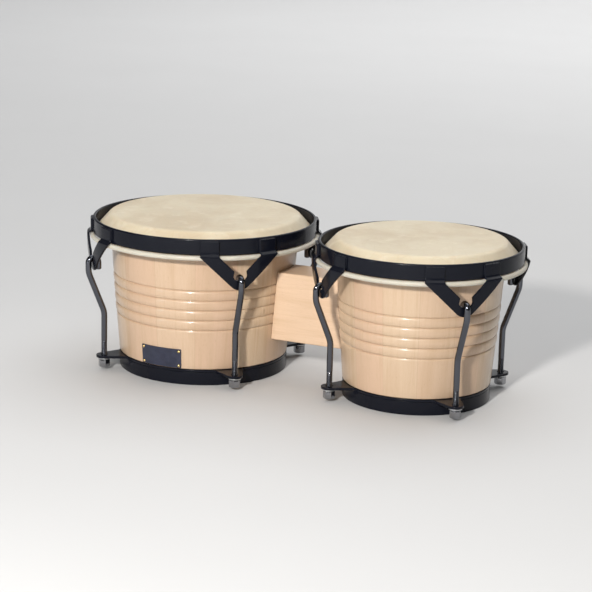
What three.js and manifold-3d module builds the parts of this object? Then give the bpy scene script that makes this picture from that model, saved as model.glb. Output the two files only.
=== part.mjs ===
// A pair of wooden bongo drums: two tapered shells joined by a block, each with a skin head
// that a steel rim, four V brackets and four J-hooks pull down against a steel bottom.
// Units are millimetres, +Z is up, the floor is z = 0. The large drum stands at -X, the small
// drum at +X, and the front of the pair, with the badge, faces -Y.
import * as THREE from 'three';
import { mergeVertices } from 'three/addons/utils/BufferGeometryUtils.js';
import Module from 'manifold-3d';

const wasm = await Module();
wasm.setup();

// ---- driving dimensions ------------------------------------------------------------------
const GAP = 0.3;                  // clearance kept between touching pieces
const CENTRE_DISTANCE = 232;      // between the two drum axes
const LARGE_TOP_RADIUS = 95.25;   // a 7.5 inch head
const SMALL_TOP_RADIUS = 82.55;   // a 6.5 inch head
const SEGMENTS = 36;              // facets round a drum

const SKIRT_HEIGHT = 16;          // steel bottom, from the floor to the shell
const SKIRT_WALL = 2.5;
const BOTTOM_LIP = 20;            // how far the steel bottom reaches in under the shell
const SHELL_BOTTOM = SKIRT_HEIGHT;
const SHELL_TOP = 154.6;          // crest of the bearing edge
const SHELL_WALL = 9;
const SHELL_TAPER = 10.6;         // top radius minus bottom radius
const SHELL_BOW = 1.6;            // sets how far the taper bulges between its ends
const GROOVE_COUNT = 5;
const GROOVE_TOP = 96.2;
const GROOVE_PITCH = 10.1;
const GROOVE_DEPTH = 1.3;
const GROOVE_HALF = 1.3;
const BEAD_CROWN = 0.35;

const SKIN = 1.2;
const RIM_BOTTOM = 136.7;
const RIM_TOP = 152.1;
const RIM_WALL = 3;
const RIM_OFFSET = 16.55;         // rim's outer face beyond the shell's top radius
const HOOP_OFFSET = 17.15;        // centre of the flesh hoop's rod, the same way
const HOOP_LEVEL = 133.9;
const HOOP_ROD = 2.5;             // radius of the skin-wrapped rod

const LARGE_LUG_TURN = -1;        // the large drum's fittings sit a degree off square
const LUG_ANGLES = { front_right: 45, back_right: 135, back_left: 225, front_left: 315 };
const BRACKET_PLATE = 2.4;
const BRACKET_TOP = 149.8;
const ARM_OUTER = 38;             // half span of the V at the rim, outside and inside its arms
const ARM_INNER = 20;
const APEX_BOTTOM = 102.7;
const APEX_RADIUS = 11.4;
const NOTCH_BOTTOM = 111.3;
const NOTCH_RADIUS = 7;
const APEX_SWEEP = 0.82;          // arc of the rounded apex and of its notch, in radians
const NOTCH_SWEEP = 2.1;
const APEX_TUCK = 2.4;            // the plate leans back in towards the shell at the apex
const BEND_TOP = 139.2;           // the plate bends out here to pass the flesh hoop
const BEND_BOTTOM = 135.7;

const HOOK_ROD = 3;               // radius of the hook's rod
const HOOK_END = 4.8;             // its lower end, with 4 mm of travel left above the floor
const HOOK_TIP = 104.5;
const HOOK_SEAT = 1;              // from the notch to the rod that lies over it
const JOG_TOP = 102;
const JOG_BOTTOM = 58;
const LOWER_ROD_OFFSET = 8.4;     // straight lower rod beyond the shell's top radius
const EAR_PLATE = 2.6;
const EAR_RADIUS = 8;
const EAR_ROOT_HALF = 14;
const ROD_HOLE = 3.5;

const WASHER_RADIUS = 6.5;
const WASHER_THICKNESS = 1.2;
const NUT_ACROSS_FLATS = 10;
const NUT_HEIGHT = 8;

const BLOCK_DEPTH = 41;
const BLOCK_BOTTOM = 40.3;
const BLOCK_TOP = 109;
const BOLT_LEVELS = { upper: 92, lower: 57 };
const BOLT_RADIUS = 4;
const BOLT_HOLE = 4.4;
const BOLT_HEX_AF = 13;
const BOLT_HEX_HEIGHT = 5.5;
const BOLT_WASHER_RADIUS = 10;
const BOLT_WASHER_THICKNESS = 2;

const BADGE_WIDTH = 43.5;
const BADGE_HEIGHT = 19.4;
const BADGE_BOTTOM = 16.8;
const BADGE_AZIMUTH = -2.4;       // degrees from the front, towards +X
const BADGE_PLATE = 0.8;
const NAIL_INSET = 2.3;
const NAIL_HEAD = 1.5;
const NAIL_SHANK = 0.6;
const NAIL_LENGTH = 5;

// ---- materials ---------------------------------------------------------------------------
function material(colour, roughness, metalness) {
  return new THREE.MeshStandardMaterial({ color: colour, roughness, metalness });
}

const WOOD = material(0xdcb98c, 0.35, 0);
const HIDE = material(0xe8dcc2, 0.6, 0);
const WRAPPED_HIDE = material(0xe9e4d6, 0.6, 0);
const BLACK_STEEL = material(0x14161c, 0.25, 0.4);
const CHROME = material(0xc9ccd2, 0.15, 1);
const ZINC = material(0xb4b6b8, 0.35, 1);
const BADGE_BLACK = material(0x10121c, 0.35, 0.1);
const BRASS = material(0xb8903c, 0.3, 1);

// ---- solids ------------------------------------------------------------------------------
function toSolid(geometry) {
  const bare = geometry.clone();
  bare.deleteAttribute('normal');
  bare.deleteAttribute('uv');
  const merged = mergeVertices(bare, 1e-4);
  const vertProperties = new Float32Array(merged.attributes.position.array);
  const triVerts = new Uint32Array(merged.index.array);
  return new wasm.Manifold(new wasm.Mesh({ numProp: 3, vertProperties, triVerts }));
}

function toGeometry(solid) {
  const mesh = solid.getMesh();
  const geometry = new THREE.BufferGeometry();
  geometry.setAttribute('position', new THREE.BufferAttribute(mesh.vertProperties, 3));
  geometry.setIndex(new THREE.BufferAttribute(mesh.triVerts, 1));
  geometry.computeVertexNormals();
  return geometry;
}

// A closed profile of [radius, height] points, turned about the Z axis.
function turned(points, segments = SEGMENTS) {
  const closed = [...points, points[0]];
  const profile = closed.map(([radius, height]) => new THREE.Vector2(radius, height));
  const geometry = new THREE.LatheGeometry(profile, segments);
  geometry.rotateX(Math.PI / 2);
  return geometry;
}

// A solid profile whose first and last points are on the axis, from the bottom up.
function turnedFromAxis(points, segments = SEGMENTS) {
  const profile = points.map(([radius, height]) => new THREE.Vector2(radius, height));
  const geometry = new THREE.LatheGeometry(profile, segments);
  geometry.rotateX(Math.PI / 2);
  return geometry;
}

// A round bar along +X, from x = 0.
function barAlongX(radius, length, sides) {
  const geometry = new THREE.CylinderGeometry(radius, radius, length, sides);
  geometry.rotateZ(Math.PI / 2);
  geometry.translate(length / 2, 0, 0);
  return geometry;
}

function hexagon(acrossFlats) {
  const shape = new THREE.Shape();
  const corner = acrossFlats / 2 / Math.cos(Math.PI / 6);
  for (let i = 0; i < 6; i += 1) {
    const angle = (i * Math.PI) / 3;
    const x = corner * Math.cos(angle);
    const y = corner * Math.sin(angle);
    if (i === 0) shape.moveTo(x, y);
    else shape.lineTo(x, y);
  }
  shape.closePath();
  return shape;
}

function circlePath(x, y, radius, kind = THREE.Path) {
  const path = new kind();
  path.absarc(x, y, radius, 0, 2 * Math.PI, false);
  return path;
}

function extruded(shape, height, curveSegments = 6) {
  return new THREE.ExtrudeGeometry(shape, { depth: height, bevelEnabled: false, curveSegments });
}

// A flat ring lying on z = 0, with its hole of radius holeRadius.
function ring(outline, holeRadius, height, curveSegments = 6) {
  outline.holes.push(circlePath(0, 0, holeRadius));
  return extruded(outline, height, curveSegments);
}

// ---- one drum ----------------------------------------------------------------------------
function drumSizes(name, centreX, topRadius, lugTurn) {
  return {
    name,
    centreX,
    topRadius,
    lugTurn,
    bottomRadius: topRadius - SHELL_TAPER,
    rimRadius: topRadius + RIM_OFFSET,
    hoopRadius: topRadius + HOOP_OFFSET,
    lowerRodRadius: topRadius + LOWER_ROD_OFFSET,
  };
}

const LARGE = drumSizes('large', 0, LARGE_TOP_RADIUS, LARGE_LUG_TURN);
const SMALL = drumSizes('small', CENTRE_DISTANCE, SMALL_TOP_RADIUS, 0);

// The shell's smooth outer radius: a gently bowed taper, steeper near the floor.
function outerRadius(drum, height) {
  const rise = (height - SHELL_BOTTOM) / (SHELL_TOP - SHELL_BOTTOM);
  const bow = SHELL_BOW * rise * (1 - rise);
  return drum.bottomRadius + SHELL_TAPER * rise + bow;
}

function grooveProfile(drum) {
  const points = [];
  for (let i = GROOVE_COUNT - 1; i >= 0; i -= 1) {
    const level = GROOVE_TOP - i * GROOVE_PITCH;
    points.push([outerRadius(drum, level - GROOVE_HALF), level - GROOVE_HALF]);
    points.push([outerRadius(drum, level) - GROOVE_DEPTH, level]);
    points.push([outerRadius(drum, level + GROOVE_HALF), level + GROOVE_HALF]);
    const crown = level + GROOVE_PITCH / 2;
    if (i > 0) points.push([outerRadius(drum, crown) + BEAD_CROWN, crown]);
  }
  return points;
}

function shell(drum) {
  const top = drum.topRadius;
  const outside = [
    [outerRadius(drum, SHELL_BOTTOM), SHELL_BOTTOM],
    [outerRadius(drum, 36), 36],
    ...grooveProfile(drum),
    [outerRadius(drum, 122), 122],
    [top, 148],
    [top - 1.2, 152.2],
  ];
  const crest = [[top - 4.2, SHELL_TOP]];
  const inside = [
    [top - SHELL_WALL + 1.5, 152.6],
    [top - SHELL_WALL, 148],
    [outerRadius(drum, 90) - SHELL_WALL, 90],
    [outerRadius(drum, SHELL_BOTTOM) - SHELL_WALL, SHELL_BOTTOM],
  ];
  return toSolid(turned([...outside, ...crest, ...inside]));
}

// A smooth plug of the shell's outer shape plus a clearance, for cutting the block's ends.
function shellPlug(drum) {
  const levels = [BLOCK_BOTTOM - 5, 60, 85, BLOCK_TOP + 5];
  const side = levels.map((level) => [outerRadius(drum, level) + BEAD_CROWN + GAP, level]);
  const last = levels[levels.length - 1];
  const geometry = turnedFromAxis([[0, levels[0]], ...side, [0, last]]);
  geometry.translate(drum.centreX, 0, 0);
  return toSolid(geometry);
}

// The skin head: flat over the shell, rolled over the bearing edge and drawn down to the hoop.
function head(drum) {
  const top = drum.topRadius;
  const flat = SHELL_TOP + GAP;
  const inside = [
    [0, flat],
    [top - 3.2, flat - 0.1],
    [top - 0.3, flat - 1.9],
    [top + 0.8, flat - 4.2],
    [drum.rimRadius - RIM_WALL - 1.9, HOOP_LEVEL + HOOP_ROD + 1.3],
  ];
  const outside = [
    [drum.rimRadius - RIM_WALL - 0.5, HOOP_LEVEL + HOOP_ROD + 2],
    [top + 2.2, flat + SKIN - 4.4],
    [top + 0.6, flat + SKIN - 2],
    [top - 2.2, flat + SKIN - 0.4],
    [top - 6, flat + SKIN],
    [0, flat + SKIN],
  ];
  return turnedFromAxis([...inside, ...outside]);
}

function fleshHoop(drum) {
  const sides = 6;
  const points = [];
  for (let i = 0; i < sides; i += 1) {
    const angle = (2 * Math.PI * (i + 0.5)) / sides;
    const radius = drum.hoopRadius + HOOP_ROD * Math.cos(angle);
    points.push([radius, HOOP_LEVEL + HOOP_ROD * Math.sin(angle)]);
  }
  return turned(points);
}

function rim(drum) {
  const outer = drum.rimRadius;
  const inner = outer - RIM_WALL;
  const edge = 0.8;
  return turned([
    [inner, RIM_BOTTOM],
    [outer, RIM_BOTTOM],
    [outer, RIM_TOP - edge],
    [outer - edge, RIM_TOP],
    [inner + edge, RIM_TOP],
    [inner, RIM_TOP - edge],
  ]);
}

// Inner face of a bracket's plate at a height: flat on the rim, then out past the flesh hoop.
function bracketFace(drum, height) {
  const onRim = drum.rimRadius + GAP;
  const pastHoop = drum.hoopRadius + HOOP_ROD + 0.4;
  if (height >= BEND_TOP) return onRim;
  if (height >= BEND_BOTTOM) {
    const blend = (BEND_TOP - height) / (BEND_TOP - BEND_BOTTOM);
    return onRim + (pastHoop - onRim) * blend;
  }
  const fall = (BEND_BOTTOM - height) / (BEND_BOTTOM - APEX_BOTTOM);
  return pastHoop - APEX_TUCK * fall * fall;
}

function arcPoint(centre, radius, angle) {
  return [radius * Math.sin(angle), centre - radius * Math.cos(angle)];
}

// The right half of the V as rungs, from the apex up one arm. Each rung joins a point on the
// outer edge to one on the inner edge; points are [across, height].
function bracketRungs() {
  const steps = 4;
  const rungs = [];
  for (let i = 0; i <= steps; i += 1) {
    const outer = arcPoint(APEX_BOTTOM + APEX_RADIUS, APEX_RADIUS, (APEX_SWEEP * i) / steps);
    const inner = arcPoint(NOTCH_BOTTOM + NOTCH_RADIUS, NOTCH_RADIUS, (NOTCH_SWEEP * i) / steps);
    rungs.push([outer, inner]);
  }
  const [armOuter, armInner] = rungs[steps];
  const corner = [[ARM_OUTER, BEND_BOTTOM], [ARM_INNER, BEND_BOTTOM]];
  for (const along of [0.35, 0.7]) {
    rungs.push([between(armOuter, corner[0], along), between(armInner, corner[1], along)]);
  }
  rungs.push(corner);
  for (const level of [BEND_TOP, BRACKET_TOP]) {
    rungs.push([[ARM_OUTER, level], [ARM_INNER, level]]);
  }
  return rungs;
}

function between(start, end, along) {
  return start.map((value, i) => value + (end[i] - value) * along);
}

// A V plate, wrapped round the rim and bent to the bracket's side profile. It is a box whose
// length runs down one arm and up the other, with its rows moved onto the rungs.
function bracket(drum) {
  const right = bracketRungs();
  const left = right.slice(1).reverse().map((rung) => rung.map(([x, z]) => [-x, z]));
  const rungs = [...left, ...right];
  const geometry = new THREE.BoxGeometry(rungs.length - 1, 1, 1, rungs.length - 1, 2, 1);
  geometry.translate((rungs.length - 1) / 2, 0.5, 0.5);
  const position = geometry.attributes.position;
  for (let i = 0; i < position.count; i += 1) {
    const [outer, inner] = rungs[Math.round(position.getX(i))];
    const [across, height] = between(outer, inner, position.getY(i));
    const radius = bracketFace(drum, height) + BRACKET_PLATE * position.getZ(i);
    const turn = across / drum.rimRadius;
    position.setXYZ(i, radius * Math.cos(turn), radius * Math.sin(turn), height);
  }
  return geometry;
}

// A planar rod path whose stations are its own points, so bends get as many as they need.
class RodPath extends THREE.CatmullRomCurve3 {
  getUtoTmapping(u) {
    return u;
  }
}

// The J-hook's centre line, in the plane of radius (x) and height (z).
function hookStations(drum) {
  const innerLeg = bracketFace(drum, HOOK_TIP) - HOOK_ROD - 0.4;
  const outerLeg = bracketFace(drum, NOTCH_BOTTOM) + BRACKET_PLATE + HOOK_ROD + 0.4;
  const archRadius = (outerLeg - innerLeg) / 2;
  const archCentre = (outerLeg + innerLeg) / 2;
  const archLevel = NOTCH_BOTTOM + HOOK_SEAT + HOOK_ROD - archRadius;
  const stations = [[innerLeg, HOOK_TIP]];
  const archSteps = 6;
  for (let i = 0; i <= archSteps; i += 1) {
    const angle = Math.PI * (1 - i / archSteps);
    stations.push([archCentre + archRadius * Math.cos(angle), archLevel + archRadius * Math.sin(angle)]);
  }
  const lower = drum.lowerRodRadius;
  const run = outerLeg - lower;
  stations.push([outerLeg, JOG_TOP + 2]);
  stations.push([outerLeg - run * 0.03, JOG_TOP - 1]);
  stations.push([outerLeg - run * 0.14, JOG_TOP - 6]);
  stations.push([outerLeg - run * 0.5, (JOG_TOP + JOG_BOTTOM) / 2]);
  stations.push([lower + run * 0.12, JOG_BOTTOM + 5.5]);
  stations.push([lower + run * 0.02, JOG_BOTTOM]);
  stations.push([lower, JOG_BOTTOM - 5]);
  stations.push([lower, 40]);
  stations.push([lower, HOOK_END]);
  return stations;
}

function hook(drum) {
  const stations = hookStations(drum);
  const path = new RodPath(stations.map(([x, z]) => new THREE.Vector3(x, 0, z)));
  const section = circlePath(0, 0, HOOK_ROD, THREE.Shape);
  return new THREE.ExtrudeGeometry(section, {
    extrudePath: path,
    steps: stations.length - 1,
    curveSegments: 4,
    bevelEnabled: false,
  });
}

// One ear of the steel bottom, pointing along +X, with its rod hole.
function ear(drum) {
  const reach = drum.lowerRodRadius;
  const root = drum.bottomRadius - SKIRT_WALL - 1;
  const shape = new THREE.Shape();
  shape.moveTo(root, -EAR_ROOT_HALF);
  shape.absarc(reach, 0, EAR_RADIUS, -1.2, 1.2, false);
  shape.lineTo(root, EAR_ROOT_HALF);
  shape.closePath();
  shape.holes.push(circlePath(reach, 0, ROD_HOLE));
  const geometry = extruded(shape, EAR_PLATE, 5);
  geometry.translate(0, 0, SKIRT_HEIGHT - GAP - EAR_PLATE);
  return geometry;
}

function lugTurnAngle(drum, angle) {
  return THREE.MathUtils.degToRad(angle + drum.lugTurn - 90);
}

// The flat ring under the shell, with its four ears.
function bottomPlate(drum) {
  const outer = drum.bottomRadius;
  const lid = SKIRT_HEIGHT - GAP;
  let solid = toSolid(turned([
    [outer - BOTTOM_LIP, lid - EAR_PLATE],
    [outer, lid - EAR_PLATE],
    [outer, lid],
    [outer - BOTTOM_LIP, lid],
  ]));
  for (const angle of Object.values(LUG_ANGLES)) {
    const turnedEar = ear(drum);
    turnedEar.rotateZ(lugTurnAngle(drum, angle));
    solid = solid.add(toSolid(turnedEar));
  }
  return toGeometry(solid);
}

// The band that carries the bottom plate and stands on the floor.
function bottomSkirt(drum) {
  const outer = drum.bottomRadius;
  const height = SKIRT_HEIGHT - EAR_PLATE - 2 * GAP;
  return turned([
    [outer - SKIRT_WALL, 0],
    [outer, 0],
    [outer, height],
    [outer - SKIRT_WALL, height],
  ]);
}

function washer() {
  return ring(circlePath(0, 0, WASHER_RADIUS, THREE.Shape), ROD_HOLE, WASHER_THICKNESS, 6);
}

function tuningNut() {
  return ring(hexagon(NUT_ACROSS_FLATS), HOOK_ROD + 0.35, NUT_HEIGHT, 6);
}

// ---- joining block and its bolts -----------------------------------------------------------
function innerWall(drum, level, side) {
  const radius = outerRadius(drum, level) - SHELL_WALL;
  return drum.centreX + side * radius;
}

function boltSpan(level) {
  const sag = 2.1;                // the washer meets the curved, leaning wall at its edge first
  const start = innerWall(LARGE, level, 1) - sag - BOLT_WASHER_THICKNESS;
  const end = innerWall(SMALL, level, -1) + sag + BOLT_WASHER_THICKNESS;
  return { start, end };
}

function boltHole(level) {
  const geometry = barAlongX(BOLT_HOLE, CENTRE_DISTANCE, 16);
  geometry.translate(0, 0, level);
  return toSolid(geometry);
}

function joiningBlock() {
  const length = CENTRE_DISTANCE - LARGE.bottomRadius / 2 - SMALL.bottomRadius / 2;
  const box = new THREE.BoxGeometry(length, BLOCK_DEPTH, BLOCK_TOP - BLOCK_BOTTOM);
  const middle = LARGE.bottomRadius / 2 + length / 2;
  box.translate(middle, 0, (BLOCK_TOP + BLOCK_BOTTOM) / 2);
  let solid = toSolid(box).subtract(shellPlug(LARGE)).subtract(shellPlug(SMALL));
  for (const level of Object.values(BOLT_LEVELS)) solid = solid.subtract(boltHole(level));
  return toGeometry(solid);
}

// A hex bolt lying along +X, its head at the large drum, its thread end in the small drum.
function throughBolt(level) {
  const { start, end } = boltSpan(level);
  const hexHead = extruded(hexagon(BOLT_HEX_AF), BOLT_HEX_HEIGHT);
  hexHead.rotateY(Math.PI / 2);
  hexHead.translate(start - GAP - BOLT_HEX_HEIGHT, 0, level);
  const overlap = 1;
  const spare = 3;
  const shank = barAlongX(BOLT_RADIUS, end - start + BOLT_HEX_HEIGHT + overlap + spare, 16);
  shank.translate(start - GAP - overlap, 0, level);
  return toGeometry(toSolid(hexHead).add(toSolid(shank)));
}

function boltWasher(level, side) {
  const { start, end } = boltSpan(level);
  const outline = circlePath(0, 0, BOLT_WASHER_RADIUS, THREE.Shape);
  const geometry = ring(outline, BOLT_HOLE, BOLT_WASHER_THICKNESS, 6);
  geometry.rotateY(Math.PI / 2);
  const x = side === 'large' ? start : end - BOLT_WASHER_THICKNESS;
  geometry.translate(x, 0, level);
  return geometry;
}

function boltNut(level) {
  const geometry = ring(hexagon(BOLT_HEX_AF), BOLT_RADIUS + GAP, BOLT_HEX_HEIGHT, 6);
  geometry.rotateY(Math.PI / 2);
  geometry.translate(boltSpan(level).end + GAP, 0, level);
  return geometry;
}

// ---- badge -------------------------------------------------------------------------------
// A point on the large shell: across and up from the badge's middle bottom, out from the wood.
function onBadge(across, up, out) {
  const level = BADGE_BOTTOM + up;
  const radius = outerRadius(LARGE, level) + out;
  const azimuth = THREE.MathUtils.degToRad(BADGE_AZIMUTH) + across / outerRadius(LARGE, BADGE_BOTTOM);
  return new THREE.Vector3(radius * Math.sin(azimuth), -radius * Math.cos(azimuth), level);
}

function nailPlaces() {
  const side = BADGE_WIDTH / 2 - NAIL_INSET;
  const top = BADGE_HEIGHT - NAIL_INSET;
  return {
    lower_left: [-side, NAIL_INSET],
    lower_right: [side, NAIL_INSET],
    upper_left: [-side, top],
    upper_right: [side, top],
  };
}

// Turns a piece made along +Z so that it points straight out of the badge at that place.
function plantOnBadge(geometry, across, up) {
  const foot = onBadge(across, up, 0);
  const outward = onBadge(across, up, 1).sub(foot).normalize();
  const turn = new THREE.Quaternion().setFromUnitVectors(new THREE.Vector3(0, 0, 1), outward);
  geometry.applyQuaternion(turn);
  geometry.translate(foot.x, foot.y, foot.z);
  return geometry;
}

function nailHole(across, up) {
  const length = NAIL_LENGTH + 4;
  const geometry = new THREE.CylinderGeometry(NAIL_SHANK + GAP, NAIL_SHANK + GAP, length, 8);
  geometry.rotateX(Math.PI / 2);
  geometry.translate(0, 0, 2 - NAIL_LENGTH / 2);
  return toSolid(plantOnBadge(geometry, across, up));
}

function badgePlate() {
  const columns = 10;
  const flat = new THREE.BoxGeometry(BADGE_WIDTH, BADGE_HEIGHT, BADGE_PLATE, columns, 1, 1);
  const position = flat.attributes.position;
  for (let i = 0; i < position.count; i += 1) {
    const out = GAP + 0.1 + BADGE_PLATE / 2 + position.getZ(i);
    const point = onBadge(position.getX(i), position.getY(i) + BADGE_HEIGHT / 2, out);
    position.setXYZ(i, point.x, point.y, point.z);
  }
  let solid = toSolid(flat);
  for (const [across, up] of Object.values(nailPlaces())) {
    solid = solid.subtract(nailHole(across, up));
  }
  return toGeometry(solid);
}

function badgeNail(across, up) {
  const seat = BADGE_PLATE + 2 * GAP + 0.15;
  const geometry = turnedFromAxis([
    [0, seat - NAIL_LENGTH],
    [NAIL_SHANK, seat - NAIL_LENGTH + 1],
    [NAIL_SHANK, seat],
    [NAIL_HEAD, seat],
    [NAIL_HEAD * 0.75, seat + 0.6],
    [0, seat + 0.9],
  ], 8);
  return plantOnBadge(geometry, across, up);
}

// ---- assembly ----------------------------------------------------------------------------
const bongos = new THREE.Group();

function place(parent, name, geometry, finish) {
  const mesh = new THREE.Mesh(geometry, finish);
  mesh.name = name;
  parent.add(mesh);
  return mesh;
}

function buildShell(drum) {
  let solid = shell(drum);
  for (const level of Object.values(BOLT_LEVELS)) {
    const hole = boltHole(level).translate([-drum.centreX, 0, 0]);
    solid = solid.subtract(hole);
  }
  if (drum === LARGE) {
    for (const [across, up] of Object.values(nailPlaces())) {
      solid = solid.subtract(nailHole(across, up));
    }
  }
  return toGeometry(solid);
}

function buildLug(drumGroup, drum, lugName, angle) {
  const lug = new THREE.Group();
  lug.rotation.z = lugTurnAngle(drum, angle);
  drumGroup.add(lug);
  const prefix = `${drum.name}_${lugName}`;
  place(lug, `${prefix}_bracket`, bracket(drum), BLACK_STEEL);
  place(lug, `${prefix}_hook`, hook(drum), CHROME);
  const washerLevel = SKIRT_HEIGHT - GAP - EAR_PLATE - GAP - WASHER_THICKNESS;
  const onRod = [drum.lowerRodRadius, 0];
  place(lug, `${prefix}_washer`, washer(), ZINC).position.set(...onRod, washerLevel);
  const nutLevel = washerLevel - GAP - NUT_HEIGHT;
  place(lug, `${prefix}_nut`, tuningNut(), CHROME).position.set(...onRod, nutLevel);
}

function buildDrum(drum) {
  const group = new THREE.Group();
  group.position.x = drum.centreX;
  bongos.add(group);
  place(group, `${drum.name}_shell`, buildShell(drum), WOOD);
  place(group, `${drum.name}_head`, head(drum), HIDE);
  place(group, `${drum.name}_flesh_hoop`, fleshHoop(drum), WRAPPED_HIDE);
  place(group, `${drum.name}_rim`, rim(drum), BLACK_STEEL);
  place(group, `${drum.name}_bottom_plate`, bottomPlate(drum), BLACK_STEEL);
  place(group, `${drum.name}_bottom_skirt`, bottomSkirt(drum), BLACK_STEEL);
  for (const [lugName, angle] of Object.entries(LUG_ANGLES)) {
    buildLug(group, drum, lugName, angle);
  }
}

function buildJoint() {
  place(bongos, 'joining_block', joiningBlock(), WOOD);
  for (const [name, level] of Object.entries(BOLT_LEVELS)) {
    place(bongos, `${name}_through_bolt`, throughBolt(level), ZINC);
    place(bongos, `${name}_bolt_washer_large`, boltWasher(level, 'large'), ZINC);
    place(bongos, `${name}_bolt_washer_small`, boltWasher(level, 'small'), ZINC);
    place(bongos, `${name}_bolt_nut`, boltNut(level), ZINC);
  }
}

function buildBadge() {
  place(bongos, 'badge_plate', badgePlate(), BADGE_BLACK);
  for (const [name, [across, up]] of Object.entries(nailPlaces())) {
    place(bongos, `badge_nail_${name}`, badgeNail(across, up), BRASS);
  }
}

buildDrum(LARGE);
buildDrum(SMALL);
buildJoint();
buildBadge();

// The origin is the middle of the footprint of the whole pair, on the floor.
const extent = new THREE.Box3().setFromObject(bongos);
bongos.position.x = -(extent.min.x + extent.max.x) / 2;
bongos.updateMatrixWorld(true);

export default bongos;
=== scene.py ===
"""Looks for a pair of wooden bongo drums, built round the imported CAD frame.

Lengths are in millimetres until a mesh is made, and then in metres. Each drum's own pieces are
made about its axis and then moved to it. A lug is one bracket, hook, washer and nut; each is made
pointing along +X, and turned to its place round the drum.
"""
import math

import bmesh
import bpy
from mathutils import Matrix, Vector, noise


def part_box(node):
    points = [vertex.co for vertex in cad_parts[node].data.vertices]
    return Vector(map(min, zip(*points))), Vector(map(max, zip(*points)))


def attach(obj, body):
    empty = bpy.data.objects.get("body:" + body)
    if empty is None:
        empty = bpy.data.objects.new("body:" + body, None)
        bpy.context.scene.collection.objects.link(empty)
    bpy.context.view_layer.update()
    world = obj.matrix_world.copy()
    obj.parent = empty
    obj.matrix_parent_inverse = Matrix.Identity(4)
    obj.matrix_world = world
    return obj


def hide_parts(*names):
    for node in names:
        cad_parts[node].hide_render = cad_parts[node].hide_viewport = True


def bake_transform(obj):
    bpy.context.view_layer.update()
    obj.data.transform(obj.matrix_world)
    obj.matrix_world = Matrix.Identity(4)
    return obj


MM = 0.001
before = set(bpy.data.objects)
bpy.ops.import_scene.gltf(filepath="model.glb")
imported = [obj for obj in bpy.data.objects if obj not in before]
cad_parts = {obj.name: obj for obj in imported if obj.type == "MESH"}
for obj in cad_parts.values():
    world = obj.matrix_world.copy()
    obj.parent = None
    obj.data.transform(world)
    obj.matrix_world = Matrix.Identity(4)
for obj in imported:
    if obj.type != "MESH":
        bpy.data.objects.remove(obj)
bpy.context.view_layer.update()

# ---- sizes, in millimetres ----
SHELL_WALL = 9
GROOVE_COUNT = 5
GROOVE_TOP = 96.2
GROOVE_PITCH = 10.1
GROOVE_DEPTH = 1.6
BEAD_CROWN = 0.5
SHELL_BOW = 1.6
BEARING_EDGE = 148
INNER_EDGE = 146

SKIN = 1.0
HOOP_ROD = 2.5
RIM_WALL = 3

BRACKET_PLATE = 2.4
BRACKET_TOP = 149.8
ARM_OUTER = 38
ARM_INNER = 20
APEX_BOTTOM = 102.7
APEX_RADIUS = 11.4
APEX_SWEEP = 0.82
NOTCH_BOTTOM = 111.3
NOTCH_RADIUS = 7
NOTCH_SWEEP = 2.1
APEX_TUCK = 2.4
BEND_TOP = 139.2
BEND_BOTTOM = 135.7

HOOK_ROD = 3
HOOK_TIP = 104.5
HOOK_SEAT = 1
JOG_TOP = 100.5
JOG_BOTTOM = 59.5
JOG_FILLET = 22
THREAD_LENGTH = 26
THREAD_PITCH = 1
THREAD_DEPTH = 0.3
ROD_POINT = 0.7

EAR_RADIUS = 8
EAR_ROOT_HALF = 14
BOTTOM_LIP = 20
SKIRT_WALL = 2.5
ROD_HOLE = 3.5
WASHER_RADIUS = 6.5
NUT_ACROSS_FLATS = 10
BOLT_RADIUS = 4
BOLT_HEAD_HEIGHT = 5.5
BOLT_ACROSS_FLATS = 13
BOLT_WASHER_RADIUS = 10

BADGE_WIDTH = 43.5
BADGE_HEIGHT = 19.4
BADGE_PLATE = 0.8
BADGE_AZIMUTH = -2.4
BADGE_LIFT = 0.15
NAIL_INSET = 2.3
NAIL_HEAD = 1.5
NAIL_DOME = 0.85
NAIL_SHANK = 0.6
NAIL_LENGTH = 5

LARGE_LUG_TURN = -1
LUG_ANGLES = {"front_right": 45, "back_right": 135, "back_left": 225, "front_left": 315}
STAVES = 14
STAVE_TURN = 4.5


def node_box(node):
    """The low and high corners of a CAD node, in millimetres."""
    low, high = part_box(node)
    return low / MM, high / MM


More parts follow.
